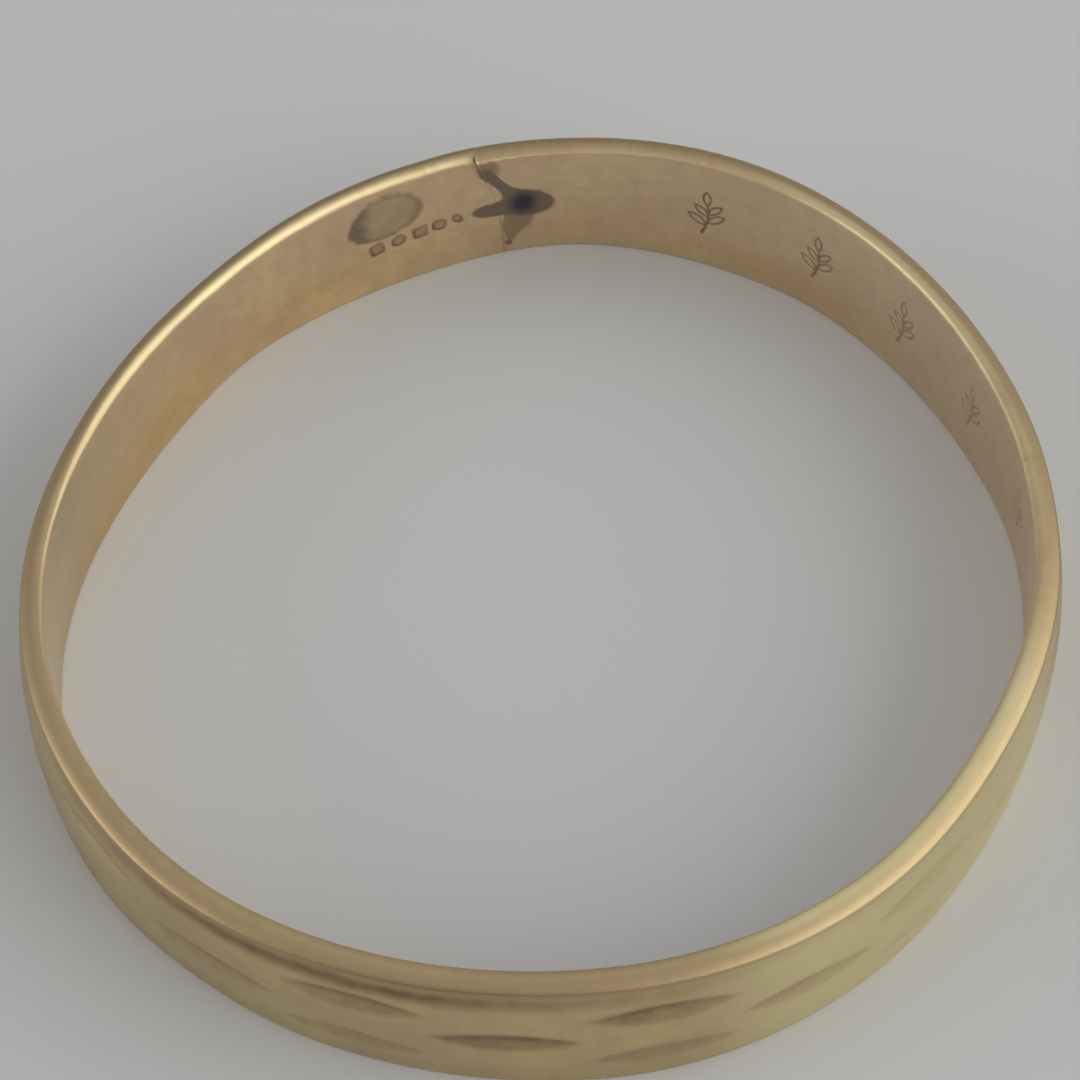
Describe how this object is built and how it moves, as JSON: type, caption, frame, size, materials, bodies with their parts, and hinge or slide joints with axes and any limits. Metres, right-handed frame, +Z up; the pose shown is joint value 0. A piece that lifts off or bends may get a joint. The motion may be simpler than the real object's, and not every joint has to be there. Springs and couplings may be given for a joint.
{
  "type": "wedding band",
  "caption": "Slim, worn yellow gold wedding band of D section, slightly out of round, closed by a soldered sizing insert.",
  "frame": {"origin": "on the ground under the lower rim, midway between the ring's outermost points", "axes": "+Z up along the finger bore; +Y towards the sizing insert; +X to the right when the insert is at the far side"},
  "size_m": [0.02, 0.0202, 0.003],
  "materials": {
    "worn_gold": "polished and worn",
    "insert_gold": "polished and worn",
    "gold_solder": "tarnished"
  },
  "bodies": {
    "root": {"band": "worn_gold", "sizing_insert": "insert_gold", "solder_joint_left": "gold_solder", "solder_joint_right": "gold_solder"}
  },
  "joints": []
}
